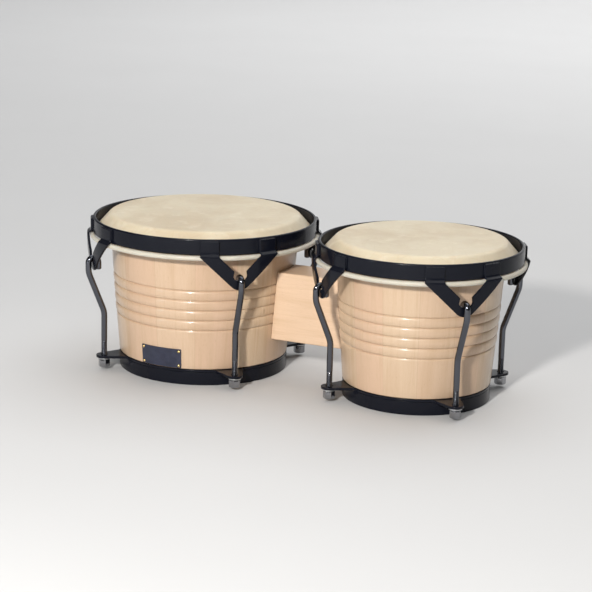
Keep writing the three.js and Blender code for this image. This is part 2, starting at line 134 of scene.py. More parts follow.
class Drum:
    """Where one drum stands, and its sizes, as the CAD nodes give them."""

    def __init__(self, name, lug_turn):
        self.name = name
        self.lug_turn = lug_turn
        self.tension = f"{name}_tension"
        rim_low, rim_high = self.box("rim")
        shell_low, shell_high = self.box("shell")
        skirt_low, skirt_high = self.box("bottom_skirt")
        hoop_low, hoop_high = self.box("flesh_hoop")
        plate_low, plate_high = self.box("bottom_plate")
        washer_low, washer_high = self.box("front_right_washer")
        self.centre = (rim_low.x + rim_high.x) / 2
        self.top_radius = (shell_high.x - shell_low.x) / 2
        self.bottom_radius = (skirt_high.x - skirt_low.x) / 2
        self.rim_radius = (rim_high.x - rim_low.x) / 2
        self.rim_bottom, self.rim_top = rim_low.z, rim_high.z
        self.shell_bottom, self.shell_top = shell_low.z, shell_high.z
        self.skirt_height = skirt_high.z
        self.plate_bottom, self.plate_top = plate_low.z, plate_high.z
        self.hoop_radius = (hoop_high.x - hoop_low.x) / 2 - HOOP_ROD * math.cos(math.pi / 6)
        self.hoop_level = (hoop_low.z + hoop_high.z) / 2
        self.head_top = self.box("head")[1].z
        self.rod_end = self.box("front_right_hook")[0].z
        rod = (washer_low + washer_high).xy / 2
        self.rod_radius = (rod - Vector((self.centre, 0))).length

    def box(self, piece):
        return node_box(f"{self.name}_{piece}")

    def lug_direction(self, angle):
        """A lug's turn from +X, in radians."""
        return math.radians(angle + self.lug_turn - 90)

    def lug_matrix(self, angle):
        """From a lug made along +X about the drum's axis to its place in the frame."""
        turn = Matrix.Rotation(self.lug_direction(angle), 4, "Z")
        return Matrix.Translation((self.centre, 0, 0)) @ turn

    def outer(self, height):
        """The shell's smooth outer radius: a gently bowed taper."""
        rise = (height - self.shell_bottom) / (self.shell_top - self.shell_bottom)
        taper = self.top_radius - self.bottom_radius
        return self.bottom_radius + taper * rise + SHELL_BOW * rise * (1 - rise)

    def bracket_face(self, height):
        """Inner face of a bracket's plate: flat on the rim, then out past the flesh hoop."""
        on_rim = self.rim_radius + 0.1
        past_hoop = self.hoop_radius + HOOP_ROD + 0.4
        if height >= BEND_TOP:
            return on_rim
        if height >= BEND_BOTTOM:
            along = (BEND_TOP - height) / (BEND_TOP - BEND_BOTTOM)
            return on_rim + (past_hoop - on_rim) * smooth(along)
        fall = (BEND_BOTTOM - height) / (BEND_BOTTOM - APEX_BOTTOM)
        return past_hoop - APEX_TUCK * fall * fall


def smooth(t):
    t = min(max(t, 0), 1)
    return t * t * (3 - 2 * t)


def mix(a, b, t):
    return a + (b - a) * t


# ---- mesh helpers ----
def piece(name, points, faces, matrix=None, keep_angle=None):
    """A mesh object from points in millimetres, smooth shaded, with its place in its mesh."""
    mesh = bpy.data.meshes.new(name)
    mesh.from_pydata([Vector(p) * MM for p in points], [], faces)
    return object_from(mesh, matrix, keep_angle)


def linked(name, data):
    """A new object in the scene, holding a mesh, curve, light or camera."""
    made = bpy.data.objects.new(name, data)
    bpy.context.collection.objects.link(made)
    return made


def object_from(mesh, matrix=None, keep_angle=None):
    """The object of a mesh in metres. matrix, in millimetres, moves the mesh to its place."""
    if matrix is not None:
        placed = matrix.copy()
        placed.translation *= MM
        mesh.transform(placed)
    tidy(mesh)
    mesh.shade_smooth()
    if keep_angle is not None:
        mesh.set_sharp_from_angle(angle=math.radians(keep_angle))
    return linked(mesh.name, mesh)


def tidy(mesh):
    """Merges doubled points, drops empty faces and turns every face outwards."""
    shape = bmesh.new()
    shape.from_mesh(mesh)
    bmesh.ops.remove_doubles(shape, verts=shape.verts, dist=1e-7)
    bmesh.ops.dissolve_degenerate(shape, edges=shape.edges, dist=1e-8)
    bmesh.ops.recalc_face_normals(shape, faces=shape.faces)
    shape.to_mesh(mesh)
    shape.free()


def flat_shading_fix(made):
    """Keeps wide flat faces flat beside their rounded edges."""
    fix = made.modifiers.new("weighted_normal", "WEIGHTED_NORMAL")
    fix.keep_sharp = True
    fix.weight = 80
    return made


def rounded(corners, closed=True, steps=5):
    """Points of a path whose corners (x, y, fillet radius) are rounded off."""
    points = []
    count = len(corners)
    for i, (x, y, radius) in enumerate(corners):
        here = Vector((x, y))
        at_end = not closed and i in (0, count - 1)
        if radius == 0 or at_end:
            points.append(here)
            continue
        before = Vector(corners[i - 1][:2]) - here
        after = Vector(corners[(i + 1) % count][:2]) - here
        opening = before.angle(after) / 2
        reach = min(radius / math.tan(opening), 0.49 * before.length, 0.49 * after.length)
        start = here + before.normalized() * reach
        end = here + after.normalized() * reach
        weight = math.sin(opening)
        for step in range(steps + 1):
            t = step / steps
            a, b, c = (1 - t) ** 2, 2 * t * (1 - t) * weight, t * t
            points.append((start * a + here * b + end * c) / (a + b + c))
    return points


def drum_points(profile, centre, segments, wobble):
    """Points of a profile of (radius, height) turned about a drum's axis. wobble moves a point."""
    points = []
    for step in range(segments):
        turn = 2 * math.pi * step / segments
        for radius, height in profile:
            if wobble:
                radius, height = wobble(radius, height, turn)
            points.append((radius * math.sin(turn) + centre, -radius * math.cos(turn), height))
    return points


def lathe(name, profile, centre, segments, wobble=None):
    """Turns a closed profile about a drum's axis."""
    points = drum_points(profile, centre, segments, wobble)
    return piece(name, points, grid_faces(segments, len(profile), True, True))


def grid_faces(rows, columns, wrap_rows, wrap_columns):
    faces = []
    for row in range(rows if wrap_rows else rows - 1):
        for column in range(columns if wrap_columns else columns - 1):
            next_row = (row + 1) % rows
            next_column = (column + 1) % columns
            faces.append((row * columns + column, next_row * columns + column,
                          next_row * columns + next_column, row * columns + next_column))
    return faces


def tube_faces(rows, columns):
    """Faces of a tube of rows round its length, closed at both ends."""
    last = (rows - 1) * columns
    lids = [tuple(range(columns)), tuple(range(last, last + columns))]
    return grid_faces(rows, columns, False, True) + lids


def drum_faces(rows, columns):
    """Faces of a turned solid with a flat lid round its axis at both ends."""
    lids = [tuple(row * columns for row in range(rows)),
            tuple(row * columns + columns - 1 for row in range(rows))]
    return grid_faces(rows, columns, True, False) + lids


def pole_faces(rows, columns):
    """Faces of a turned solid whose two points on the axis come before all the others."""
    faces = [tuple(i + 2 for i in face) for face in grid_faces(rows, columns, True, False)]
    for row in range(rows):
        here, following = 2 + row * columns, 2 + ((row + 1) % rows) * columns
        faces.append((0, following, here))
        faces.append((1, here + columns - 1, following + columns - 1))
    return faces


def disc_lathe(name, profile, centre, segments, wobble):
    """Turns an open profile that starts and ends on the axis."""
    middle = profile[1:-1]
    poles = [(centre, 0, profile[0][1]), (centre, 0, profile[-1][1])]
    points = poles + drum_points(middle, centre, segments, wobble)
    return piece(name, points, pole_faces(segments, len(middle)))


def prism_from_curves(name, outlines, thickness, bevel, matrix):
    """A flat plate with rounded edges, from closed outlines of (x, y); inner ones are holes."""
    curve = bpy.data.curves.new(name, "CURVE")
    curve.dimensions = "2D"
    curve.fill_mode = "BOTH"
    for outline in outlines:
        spline = curve.splines.new("POLY")
        spline.points.add(len(outline) - 1)
        for point, (x, y) in zip(spline.points, outline):
            point.co = (x * MM, y * MM, 0, 1)
        spline.use_cyclic_u = True
    curve.extrude = (thickness / 2 - bevel) * MM
    curve.bevel_depth = bevel * MM
    curve.bevel_resolution = 3
    curve.offset = -bevel * MM
    drawn = linked(name, curve)
    graph = bpy.context.evaluated_depsgraph_get()
    mesh = bpy.data.meshes.new_from_object(drawn.evaluated_get(graph))
    bpy.data.objects.remove(drawn)
    bpy.data.curves.remove(curve)
    mesh.name = name
    return flat_shading_fix(object_from(mesh, matrix))


def turned(profile, segments):
    """Points of a profile of (radius, height), turned about +Z."""
    turns = [2 * math.pi * step / segments for step in range(segments)]
    return [(r * math.cos(turn), r * math.sin(turn), z) for turn in turns for r, z in profile]


def circle(x, y, radius, count):
    turns = [2 * math.pi * i / count for i in range(count)]
    return [(x + radius * math.cos(t), y + radius * math.sin(t)) for t in turns]


def stand_for(made, body, slot, finish, *nodes):
    """Gives a piece its finish, its body and the CAD nodes that it stands for."""
    made.data.materials.clear()
    made.data.materials.append(finish)
    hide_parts(*nodes)
    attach(made, body)
    return made


# ---- shader helpers ----
class Shader:
    """A small builder for node materials."""

    def __init__(self, name):
        self.material = bpy.data.materials.new(name)
        self.material.use_nodes = True
        self.nodes = self.material.node_tree.nodes
        self.links = self.material.node_tree.links
        self.surface = self.nodes["Principled BSDF"]

    def node(self, kind, inputs=None, **settings):
        made = self.nodes.new(kind)
        for key, value in settings.items():
            setattr(made, key, value)
        for key, value in (inputs or {}).items():
            self.put(made.inputs[key], value)
        return made

    def put(self, socket, value):
        if isinstance(value, bpy.types.NodeSocket):
            self.links.new(value, socket)
        elif isinstance(value, tuple) and socket.type == "RGBA":
            socket.default_value = (*value, 1)
        else:
            socket.default_value = value

    def set(self, **values):
        for key, value in values.items():
            self.put(self.surface.inputs[key.replace("_", " ")], value)

    def place(self):
        return self.node("ShaderNodeTexCoord").outputs["Object"]

    def axes(self, vector):
        split = self.node("ShaderNodeSeparateXYZ", {0: vector})
        return split.outputs[0], split.outputs[1], split.outputs[2]

    def vector(self, x, y, z):
        return self.node("ShaderNodeCombineXYZ", {0: x, 1: y, 2: z}).outputs[0]

    def math(self, operation, a, b=0.0, c=0.0):
        return self.node("ShaderNodeMath", {0: a, 1: b, 2: c}, operation=operation).outputs[0]

    def times(self, a, b):
        return self.math("MULTIPLY", a, b)

    def scaled(self, vector, x, y, z):
        return self.node("ShaderNodeMapping", {0: vector, "Scale": (x, y, z)}).outputs[0]

    def noise(self, vector, scale, detail, roughness=0.55, distortion=0.0):
        made = self.node("ShaderNodeTexNoise", {"Vector": vector, "Scale": scale, "Detail": detail,
                                                "Roughness": roughness, "Distortion": distortion})
        return made.outputs["Fac"]

    def random(self, value):
        return self.node("ShaderNodeTexWhiteNoise", {"W": value},
                         noise_dimensions="1D").outputs["Value"]

    def range(self, value, low, high, to_low=0.0, to_high=1.0):
        made = self.node("ShaderNodeMapRange", {0: value, 1: low, 2: high, 3: to_low, 4: to_high})
        made.interpolation_type = "SMOOTHSTEP"
        return made.outputs[0]

    def blend(self, share, first, second):
        inputs = {"Factor": share, 6: first, 7: second}
        return self.node("ShaderNodeMix", inputs, data_type="RGBA").outputs[2]

    def bump(self, height, distance, strength):
        made = self.node("ShaderNodeBump", {"Height": height, "Distance": distance,
                                            "Strength": strength})
        self.set(Normal=made.outputs[0])


def wood_grain(shader, across, along, depth, offset):
    """Pale straight-grained wood. across, along and depth are in metres; offset is per board."""
    def stretched(side, share, inward=offset):
        return shader.vector(side, shader.times(along, share), inward)

    wander = shader.noise(stretched(across, 0.25), 22.0, 2.0)
    swayed = shader.math("MULTIPLY_ADD", wander, 0.012, across)
    streaks = shader.noise(stretched(swayed, 0.10), 75.0, 2.0, 0.5)
    bands = shader.noise(stretched(swayed, 0.045), 260.0, 3.0, 0.6)
    inward = shader.math("ADD", depth, offset)
    fibres = shader.noise(stretched(swayed, 0.03, inward), 1500.0, 3.0, 0.65)
    pores = shader.range(shader.noise(stretched(swayed, 0.09), 2300.0, 1.0), 0.64, 0.74)
    return streaks, bands, fibres, pores


def flecks(shader, across, along, offset):
    """A few small, long, dark flecks, as tiny knots leave."""
    place = shader.vector(shader.times(across, 42.0), shader.times(along, 19.0), offset)
    spots = shader.node("ShaderNodeTexVoronoi", {"Vector": place, "Scale": 1.0})
    chosen = shader.math("GREATER_THAN", shader.axes(spots.outputs["Color"])[0], 0.72)
    round_spot = shader.range(spots.outputs["Distance"], 0.03, 0.10, 1.0, 0.0)
    return shader.times(round_spot, chosen)


def wood(shader, across, along, depth, offset, paleness):
    """Lacquered wood from its board coordinates. Gives back the colour, for seams to be added."""
    streaks, bands, fibres, pores = wood_grain(shader, across, along, depth, offset)
    tones = ((0.70, 0.54, 0.375), (0.68, 0.47, 0.325), (0.60, 0.415, 0.265))
    pale, rosy, deep = (tuple(channel * paleness for channel in tone) for tone in tones)
    tint = shader.random(shader.math("ADD", offset, 0.37))
    ground = shader.blend(tint, pale, rosy)
    light = shader.times(shader.random(shader.math("ADD", offset, 4.1)), 0.22)
    shaded = shader.blend(light, ground, deep)
    streaked = shader.blend(shader.range(streaks, 0.45, 0.75, 0.0, 0.65), shaded, deep)
    banded = shader.blend(shader.range(bands, 0.45, 0.78, 0.0, 0.65), streaked, deep)
    fibred = shader.blend(shader.range(fibres, 0.35, 0.8, 0.0, 0.18), banded, (0.47, 0.30, 0.17))
    pored = shader.blend(shader.times(pores, 0.22), fibred, (0.30, 0.17, 0.09))
    flecked = shader.blend(shader.times(flecks(shader, across, along, offset), 0.6), pored,
                           (0.27, 0.16, 0.09))
    shader.set(Base_Color=flecked, Roughness=shader.range(fibres, 0.2, 0.9, 0.34, 0.5),
               Coat_Weight=0.5, Coat_Roughness=0.14, Specular_IOR_Level=0.45)
    shader.bump(shader.math("MULTIPLY_ADD", pores, -0.7, fibres), 0.00005, 0.5)
    return flecked


def shell_wood(drum):
    """Upright staves, each with its own tint and grain, seen round the drum's axis."""
    shader = Shader(f"{drum.name}_shell_wood")
    x, y, z = shader.axes(shader.place())
    from_axis = shader.math("SUBTRACT", x, drum.centre * MM)
    turn = shader.math("ARCTAN2", from_axis, shader.times(y, -1.0))
    shifted = shader.math("ADD", turn, math.pi + math.radians(STAVE_TURN))
    staves = shader.times(shifted, STAVES / (2 * math.pi))
    stave = shader.math("FLOOR", staves)
    offset = shader.times(shader.random(stave), 7.0 + drum.top_radius * 0.01)
    across = shader.times(turn, drum.top_radius * MM)
    squares = shader.math("ADD", shader.times(from_axis, from_axis), shader.times(y, y))
    reach = shader.math("SQRT", squares)
    colour = wood(shader, across, z, reach, offset, 0.87)
    from_seam = shader.math("ABSOLUTE", shader.math("SUBTRACT", shader.math("FRACT", staves), 0.5))
    seam = shader.range(from_seam, 0.492, 0.499, 0.0, 0.45)
    shader.set(Base_Color=shader.blend(seam, colour, (0.34, 0.21, 0.12)))
    return shader.material


def block_wood():
    """One board, its grain running from drum to drum."""
    shader = Shader("block_wood")
    x, y, z = shader.axes(shader.place())
    wood(shader, z, x, y, 3.3, 1.06)
    return shader.material


def rawhide(name, tone, mottle, clean=0.0):
    """Stretched skin: cloudy, faintly veined, a little translucent. clean takes clouds away."""
    shader = Shader(name)
    place = shader.place()
    clouds = shader.noise(place, 16.0, 4.0, 0.55, 0.6)
    patches = shader.noise(place, 55.0, 3.0, 0.6, 0.3)
    cells = shader.node("ShaderNodeTexVoronoi",
                        {"Vector": shader.scaled(place, 1.0, 1.0, 0.4), "Scale": 70.0},
                        feature="DISTANCE_TO_EDGE")
    grain = shader.noise(place, 1400.0, 2.0, 0.6)
    hairs = shader.range(shader.noise(place, 900.0, 1.0), 0.68, 0.76)
    cloudy = shader.blend(shader.range(clouds, 0.35, 0.7, 0.0, 0.75 - clean), tone, mottle)
    patched = shader.blend(shader.range(patches, 0.5, 0.75, 0.0, 0.35 - clean * 0.4), cloudy,
                           (0.80, 0.73, 0.60))
    veins = shader.range(cells.outputs["Distance"], 0.0, 0.05, 0.10, 0.0)
    veined = shader.blend(veins, patched, (0.45, 0.31, 0.17))
    haired = shader.blend(shader.times(hairs, 0.18), veined, (0.32, 0.2, 0.1))
    shader.set(Base_Color=haired, Roughness=shader.range(patches, 0.3, 0.7, 0.42, 0.6),
               Subsurface_Weight=0.15, Subsurface_Scale=0.002, Sheen_Weight=0.08)
    shader.surface.inputs["Subsurface Radius"].default_value = (1.0, 0.6, 0.35)
    shader.bump(shader.math("MULTIPLY_ADD", patches, 2.0, grain), 0.00006, 0.6)
    return shader.material


def black_paint():
    """Gloss black powder coat with a slight orange peel, smudged gloss and fine dust."""
    shader = Shader("gloss_black_paint")
    place = shader.place()
    peel = shader.noise(place, 520.0, 2.0, 0.5)
    smudges = shader.noise(place, 24.0, 4.0, 0.6, 0.5)
    dust = shader.range(shader.noise(place, 2600.0, 1.0), 0.73, 0.78)
    colour = shader.blend(shader.times(dust, 0.1), (0.005, 0.006, 0.011), (0.2, 0.2, 0.21))
    shader.set(Base_Color=colour, Roughness=shader.range(smudges, 0.3, 0.7, 0.16, 0.26),
               Coat_Weight=0.06, Coat_Roughness=0.06, Specular_IOR_Level=0.16)
    shader.bump(peel, 0.00006, 0.35)
    return shader.material


def plated(name, colour, roughness, drawn, tarnish, edge=1.0, gloss=0.0):
    """Plated steel with drawn marks, haze and tarnish.

    edge dims its reflections at grazing angles, as painted dark reflection, and gloss adds a clear
    coat.
    """
    shader = Shader(name)
    place = shader.place()
    marks = shader.noise(shader.scaled(place, 1.0, 1.0, 0.04), 3500.0, 2.0, 0.6)
    haze = shader.noise(place, 90.0, 4.0, 0.6)
    spots = shader.range(shader.noise(place, 700.0, 2.0), 0.66, 0.74)
    dull = tuple(c * 0.45 for c in colour)
    tinted = shader.blend(shader.times(spots, tarnish), colour, dull)
    base = shader.math("MULTIPLY_ADD", haze, 0.10, roughness - 0.03)
    shader.set(Base_Color=tinted, Metallic=1.0, Specular_Tint=(edge, edge, edge),
               Roughness=shader.math("MULTIPLY_ADD", marks, drawn, base),
               Coat_Weight=gloss, Coat_Roughness=0.04)
    shader.bump(marks, 0.00001, 0.3)
    return shader.material


def badge_enamel():
    """Blue-black enamel with fine dust and a soft gloss."""
    shader = Shader("badge_enamel")
    place = shader.place()
    cloud = shader.noise(place, 160.0, 4.0, 0.6)
    specks = shader.range(shader.noise(place, 4200.0, 1.0), 0.68, 0.75)
    ground = shader.blend(shader.range(cloud, 0.3, 0.7), (0.010, 0.013, 0.032), (0.018, 0.022, 0.048))
    speckled = shader.blend(shader.times(specks, 0.2), ground, (0.25, 0.26, 0.3))
    shader.set(Base_Color=speckled, Roughness=shader.range(cloud, 0.3, 0.7, 0.28, 0.42),
               Coat_Weight=0.35, Coat_Roughness=0.15)
    shader.bump(shader.noise(place, 900.0, 2.0), 0.00004, 0.4)
    return shader.material


# ---- the drums' round pieces ----
def bead_profile(drum):
    """The band of turned grooves, from the bottom up: soft convex beads between V grooves."""
    bottom = GROOVE_TOP - (GROOVE_COUNT - 1) * GROOVE_PITCH
    shares = [0.0, 0.015, 0.045, 0.09, 0.15, 0.24, 0.36, 0.5, 0.64, 0.76, 0.85, 0.91, 0.955, 0.985]
    points = []
    for bead in range(GROOVE_COUNT - 1):
        for share in shares:
            height = bottom + (bead + share) * GROOVE_PITCH
            points.append((drum.outer(height) + bead_swell(share), height))
    points.append((drum.outer(GROOVE_TOP) - GROOVE_DEPTH, GROOVE_TOP))
    shoulder = [0.02, 0.05, 0.1, 0.16, 0.25]
    below = [shoulder_point(drum, bottom, -s) for s in reversed(shoulder)]
    above = [shoulder_point(drum, GROOVE_TOP, s) for s in shoulder]
    return below + points + above


def shoulder_point(drum, level, share):
    """A point beside an outermost groove, share of a pitch above it, or below it if negative."""
    height = level + share * GROOVE_PITCH
    off_edge = 1 - min(abs(share) / 0.25, 1)
    drop = GROOVE_DEPTH * (1 - math.sqrt(max(0.0, 1 - off_edge ** 2.6)))
    return drum.outer(height) - drop, height


def bead_swell(share):
    off_middle = abs(2 * share - 1)
    swell = math.sqrt(max(0.0, 1 - off_middle ** 2.3))
    return -GROOVE_DEPTH + (GROOVE_DEPTH + BEAD_CROWN) * swell


def shell(drum, finish):
    low, top, crest = drum.shell_bottom, drum.top_radius, drum.shell_top
    inside = top - SHELL_WALL
    base = drum.outer(low)
    foot = [(base - 1.2, low), (base - 0.5, low + 0.15), (base - 0.1, low + 0.6),
            (drum.outer(low + 1.4), low + 1.4)]
    lower_wall = [(drum.outer(h), h) for h in (low + 8, low + 16, low + 24, low + 32)]
    upper_wall = [(drum.outer(h), h) for h in (104, 112, 122, 132, 141)]
    edge = rounded([(top, BEARING_EDGE, 0), (top - 0.2, crest - 0.3, 5),
                    (inside + 1, crest - 0.2, 3.5), (inside, INNER_EDGE, 0)], closed=False, steps=8)
    inner_wall = [(drum.outer(h) - SHELL_WALL, h) for h in range(130, 20, -20)]
    inner_foot = [(base - SHELL_WALL, low + 1), (base - SHELL_WALL + 1, low)]
    profile = foot + lower_wall + bead_profile(drum) + upper_wall + edge + inner_wall + inner_foot
    made = lathe(f"{drum.name}_shell_turned", profile, drum.centre, 224)
    return stand_for(made, "root", "shell_wood", finish, f"{drum.name}_shell")


def head_profile(drum):
    """The skin from the middle out over the bearing edge, down inside the rim and back."""
    top = drum.head_top
    edge = drum.top_radius
    inside_rim = drum.rim_radius - RIM_WALL
    hoop_top = drum.hoop_level + HOOP_ROD
    upper = rounded([(edge - 30, top, 0), (edge - 1.0, top, 7.5), (inside_rim - 1.3, hoop_top + 5, 10),
                     (inside_rim + 0.2, hoop_top - 1.5, 0)], closed=False, steps=10)
    flats = [(0, top)] + [(edge * share, top) for share in (0.08, 0.2, 0.32, 0.44, 0.56)]
    outside = flats + upper
    inside = []
    for i, (radius, height) in enumerate(outside):
        before = Vector(outside[max(i - 1, 0)])
        after = Vector(outside[min(i + 1, len(outside) - 1)])
        along = (after - before).normalized()
        inside.append((max(radius + along.y * SKIN, 0), height - along.x * SKIN))
    return outside + inside[::-1]


def head(drum, finish):
    """The head bends from the shell, where it sits still, to the hoop, which draws it down."""
    seed = Vector((drum.centre * 0.1, 3.1, 0))
    still = drum.shell_top - 4

    def wobble(radius, height, turn):
        sway = noise.noise(Vector((math.cos(turn), math.sin(turn), 0)) * 2.5 + seed)
        low = smooth((still - height) / 10)
        return radius + 0.25 * sway * low, height

    made = disc_lathe(f"{drum.name}_head_skin", head_profile(drum), drum.centre, 224, wobble)
    made.data.materials.append(finish)
    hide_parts(f"{drum.name}_head")
    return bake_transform(made)


def flesh_hoop(drum, finish):
    """A steel rod in a tight wrap of skin, a little uneven."""
    seed = Vector((drum.centre * 0.07, 0, 1.7))
    sides = 28
    profile = []
    for i in range(sides):
        turn = 2 * math.pi * i / sides
        profile.append((drum.hoop_radius + (HOOP_ROD - 0.1) * math.cos(turn),
                        drum.hoop_level + (HOOP_ROD - 0.1) * math.sin(turn)))

    def wobble(radius, height, turn):
        around = Vector((math.cos(turn), math.sin(turn), height * 0.12))
        slow = noise.noise(around * 9 + seed)
        pleat = noise.noise(around * 42 + seed)
        swell = 1 + 0.018 * slow + 0.008 * pleat
        return (drum.hoop_radius + (radius - drum.hoop_radius) * swell,
                drum.hoop_level + (height - drum.hoop_level) * swell)

    made = lathe(f"{drum.name}_wrapped_hoop", profile, drum.centre, 360, wobble)
    return stand_for(made, drum.tension, "wrapped_skin", finish, f"{drum.name}_flesh_hoop")


def rim(drum, finish):
    outer, inner = drum.rim_radius, drum.rim_radius - RIM_WALL
    low, top = drum.rim_bottom, drum.rim_top
    profile = rounded([(inner, low, 0.7), (outer, low, 0.7), (outer, top, 1.3), (inner, top, 1.1)],
                      steps=6)
    made = lathe(f"{drum.name}_rim_band", profile, drum.centre, 256)
    stand_for(made, drum.tension, "black_steel", finish, f"{drum.name}_rim")
    return flat_shading_fix(made)


def bottom_skirt(drum, finish):
    outer, inner = drum.bottom_radius, drum.bottom_radius - SKIRT_WALL
    profile = rounded([(inner, 0, 0.8), (outer, 0, 0.9), (outer, drum.skirt_height + 0.2, 0.3),
                       (inner, drum.skirt_height + 0.2, 0.3)], steps=5)
    made = lathe(f"{drum.name}_skirt_band", profile, drum.centre, 256)
    stand_for(made, "root", "black_steel", finish, f"{drum.name}_bottom_skirt")
    return flat_shading_fix(made)


def ear_corners(drum, angle):
    """The outline of one ear, as corners with fillets, from its left root to its right one."""
    reach = drum.rod_radius
    root = drum.bottom_radius
    matrix = Matrix.Rotation(drum.lug_direction(angle), 2)
    half_turn = math.asin(EAR_ROOT_HALF / root)
    start = (root * math.cos(half_turn), -EAR_ROOT_HALF)
    local = [(*start, 5)]
    for step in range(9):
        turn = mix(-1.25, 1.25, step / 8)
        local.append((reach + EAR_RADIUS * math.cos(turn), EAR_RADIUS * math.sin(turn), 0))
    local.append((start[0], EAR_ROOT_HALF, 5))
    return [(*(matrix @ Vector((x, y))), radius) for x, y, radius in local]


def bottom_plate(drum, finish):
    """The flat steel ring under the shell, with four ears for the hooks."""
    root = drum.bottom_radius
    corners = []
    gap = math.asin(EAR_ROOT_HALF / root) + 0.06
    for angle in LUG_ANGLES.values():
        corners += ear_corners(drum, angle)
        start = drum.lug_direction(angle) + gap
        end = start + math.pi / 2 - 2 * gap
        for step in range(17):
            turn = mix(start, end, step / 16)
            corners.append((root * math.cos(turn), root * math.sin(turn), 0))
    outlines = [rounded(corners, steps=6), circle(0, 0, root - BOTTOM_LIP, 128)]
    for angle in LUG_ANGLES.values():
        turn = drum.lug_direction(angle)
        outlines.append(circle(drum.rod_radius * math.cos(turn), drum.rod_radius * math.sin(turn),
                               ROD_HOLE, 32))
    thickness = drum.plate_top - drum.plate_bottom
    middle = (drum.plate_top + drum.plate_bottom) / 2
    made = prism_from_curves(f"{drum.name}_eared_ring", outlines, thickness, 0.45,
                             Matrix.Translation((drum.centre, 0, middle)))
    return stand_for(made, "root", "black_steel", finish, f"{drum.name}_bottom_plate")


# ---- lugs ----
def arc_point(centre, radius, angle):
    return Vector((radius * math.sin(angle), centre - radius * math.cos(angle)))


def bracket_rungs():
    """The right half of the V, as pairs of (outer, inner) points of (across, height)."""
    arc_steps, arm_steps = 12, 14
    rungs = []
    for i in range(arc_steps + 1):
        share = i / arc_steps
        rungs.append((arc_point(APEX_BOTTOM + APEX_RADIUS, APEX_RADIUS, APEX_SWEEP * share),
                      arc_point(NOTCH_BOTTOM + NOTCH_RADIUS, NOTCH_RADIUS, NOTCH_SWEEP * share)))
    arm_outer, arm_inner = rungs[-1]
    for i in range(1, arm_steps + 1):
        share = i / arm_steps
        rungs.append((arm_outer.lerp(Vector((ARM_OUTER, BEND_BOTTOM)), share),
                      arm_inner.lerp(Vector((ARM_INNER, BEND_BOTTOM)), share)))
    for level in (136.3, 137, 137.7, 138.4, BEND_TOP, 140.5, 143, BRACKET_TOP):
        rungs.append((Vector((ARM_OUTER, level)), Vector((ARM_INNER, level))))
    return rungs


def mirrored(rung):
    return tuple(Vector((-p.x, p.y)) for p in rung)


def plate_section(length, inset):
    """The rounded cross-section of the plate, as (along the rung, out of the plate)."""
    edge = 0.75 - inset * 0.7
    corners = [(inset, inset, edge), (length - inset, inset, edge),
               (length - inset, BRACKET_PLATE - inset, edge), (inset, BRACKET_PLATE - inset, edge)]
    low_left, low_right, high_right, high_left = corners
    shares = (0.25, 0.5, 0.75)
    loop = rounded(corners, steps=3)
    per_corner = 4
    section = loop[:per_corner]
    section += [Vector((mix(low_left[0], low_right[0], s), inset)) for s in shares]
    section += loop[per_corner:3 * per_corner]
    section += [Vector((mix(high_right[0], high_left[0], s), BRACKET_PLATE - inset)) for s in shares]
    section += loop[3 * per_corner:]
    return section


def bracket(drum, lug, angle, finish):
    right = bracket_rungs()
    left = [mirrored(rung) for rung in reversed(right[1:])]
    rungs = [(rung, 0.0) for rung in left + right]
    ends = []
    for inset, rise in ((0.12, 0.36), (0.35, 0.6), (0.7, 0.7)):
        outer, inner = right[-1]
        lift = Vector((0, rise))
        ends.append(((outer + lift, inner + lift), inset))
    rungs = [(mirrored(rung), inset) for rung, inset in reversed(ends)] + rungs + ends
    points = []
    for (outer, inner), inset in rungs:
        length = (outer - inner).length
        for along, out in plate_section(length, inset):
            across, height = inner.lerp(outer, along / length)
            radius = drum.bracket_face(height) + out
            turn = across / drum.rim_radius
            points.append((radius * math.cos(turn), radius * math.sin(turn), height))
    faces = tube_faces(len(rungs), len(points) // len(rungs))
    made = piece(f"{drum.name}_{lug}_v_bracket", points, faces, drum.lug_matrix(angle))
    stand_for(made, drum.tension, "black_steel", finish, f"{drum.name}_{lug}_bracket")
    return flat_shading_fix(made)


def weld(drum, lug, angle, side, finish):
    """The weld round one tab, where its edges meet the rim: a thin, slightly rippled bead."""
    inner, outer = ARM_INNER + 0.3, ARM_OUTER - 0.3
    low, top = BEND_TOP + 0.6, BRACKET_TOP + 0.3
    path = rounded([(inner, low, 0), (inner, top, 1.5), (outer, top, 1.5), (outer, low, 0)],
                   closed=False, steps=5)
    stations = []
    for start, end in zip(path, path[1:]):
        count = max(1, round((end - start).length / 0.7))
        stations += [start.lerp(end, i / count) for i in range(count)]
    stations.append(path[-1])
    sides = 10
    points = []
    last = len(stations) - 1
    for i, station in enumerate(stations):
        along = (stations[min(i + 1, last)] - stations[max(i - 1, 0)]).normalized()
        across = Vector((-along.y, along.x))
        at_end = i in (0, last)
        size = 0.3 if at_end else 0.8 + 0.08 * math.sin(i * 1.9)
        for k in range(sides):
            turn = 2 * math.pi * k / sides
            flat = station + across * (size * math.cos(turn))
            radius = drum.rim_radius + 0.3 + size * math.sin(turn)
            bend = side * flat.x / drum.rim_radius
            points.append((radius * math.cos(bend), radius * math.sin(bend), flat.y))
    faces = tube_faces(len(stations), sides)
    name = f"{drum.name}_{lug}_{'right' if side > 0 else 'left'}_weld"
    made = piece(name, points, faces, drum.lug_matrix(angle))
    return stand_for(made, drum.tension, "black_steel", finish, f"{drum.name}_{lug}_bracket")


